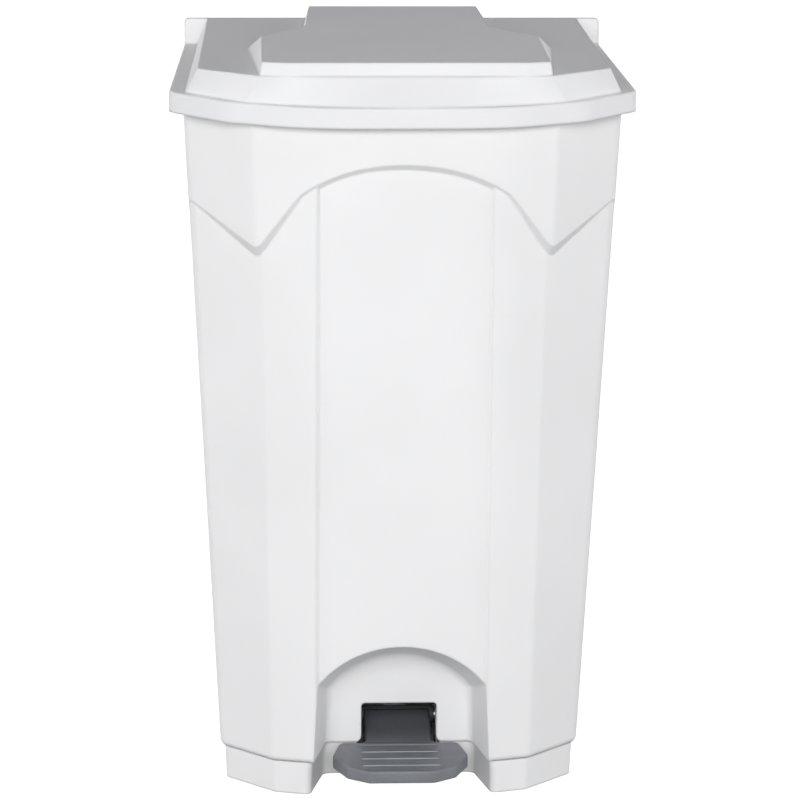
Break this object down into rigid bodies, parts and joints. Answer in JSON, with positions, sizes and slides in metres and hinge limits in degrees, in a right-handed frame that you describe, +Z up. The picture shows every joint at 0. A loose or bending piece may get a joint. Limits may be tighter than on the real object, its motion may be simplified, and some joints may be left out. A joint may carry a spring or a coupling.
{
  "type": "pedal bin",
  "caption": "Tall white tapering pedal bin: a foot pedal and a push rod behind the body lift a hinged stepped lid.",
  "frame": {"origin": "on the floor under the middle of the lid's plan", "axes": "+Z up, -Y towards the front with the pedal, +X to the right as seen from behind the bin's front"},
  "size_m": [0.499, 0.4103, 0.82],
  "materials": {
    "body_white": "fine satin moulded polypropylene, white",
    "lid_white": "fine satin moulded polypropylene, white",
    "pedal_grey": "satin moulded polypropylene, mid grey",
    "bearing_grey": "natural acetal, semi-matt",
    "zinc_steel": "bright zinc-plated steel",
    "black_rubber": "matt rubber"
  },
  "bodies": {
    "body": {"body_shell": "body_white", "base_tray": "body_white", "foot_pads": "black_rubber", "base_screws": "zinc_steel", "bearing_block_left": "bearing_grey", "bearing_block_right": "bearing_grey", "bearing_screws": "zinc_steel", "pedal_axle": "zinc_steel", "axle_clips": "zinc_steel", "axle_washers": "zinc_steel", "rod_guide_lower": "bearing_grey", "rod_guide_upper": "bearing_grey", "guide_screws": "zinc_steel", "hinge_pin_left": "zinc_steel", "hinge_pin_right": "zinc_steel", "hinge_caps": "bearing_grey"},
    "lid": {"lid_shell": "lid_white", "lid_buffers": "black_rubber", "lid_bracket": "zinc_steel", "bracket_screws": "zinc_steel", "crank_pin": "zinc_steel", "crank_clips": "zinc_steel"},
    "pedal": {"pedal_tread": "pedal_grey", "lever_arm": "zinc_steel", "lever_screws": "zinc_steel", "lever_pin": "zinc_steel", "lever_clips": "zinc_steel"},
    "rod": {"push_rod": "zinc_steel", "rod_foot": "bearing_grey", "rod_head": "bearing_grey"}
  },
  "joints": [
    {"name": "lid_hinge", "type": "hinge", "parent": "body", "child": "lid", "pos_m": [0, 0.197, 0.768], "axis": [-1, 0, 0], "range_deg": [0, 80]},
    {"name": "pedal_pivot", "type": "hinge", "parent": "body", "child": "pedal", "pos_m": [0, -0.04, 0.047], "axis": [1, 0, 0], "range_deg": [0, 8.26]},
    {"name": "rod_lift", "type": "slide", "parent": "body", "child": "rod", "axis": [0, 0.0224, 0.9997], "range_m": [0, 0.029]}
  ],
  "couplings": [
    {"joint": "pedal_pivot", "follows": "lid_hinge", "ratio": 0.10329},
    {"joint": "rod_lift", "follows": "lid_hinge", "m_per_rad": 0.02077}
  ]
}
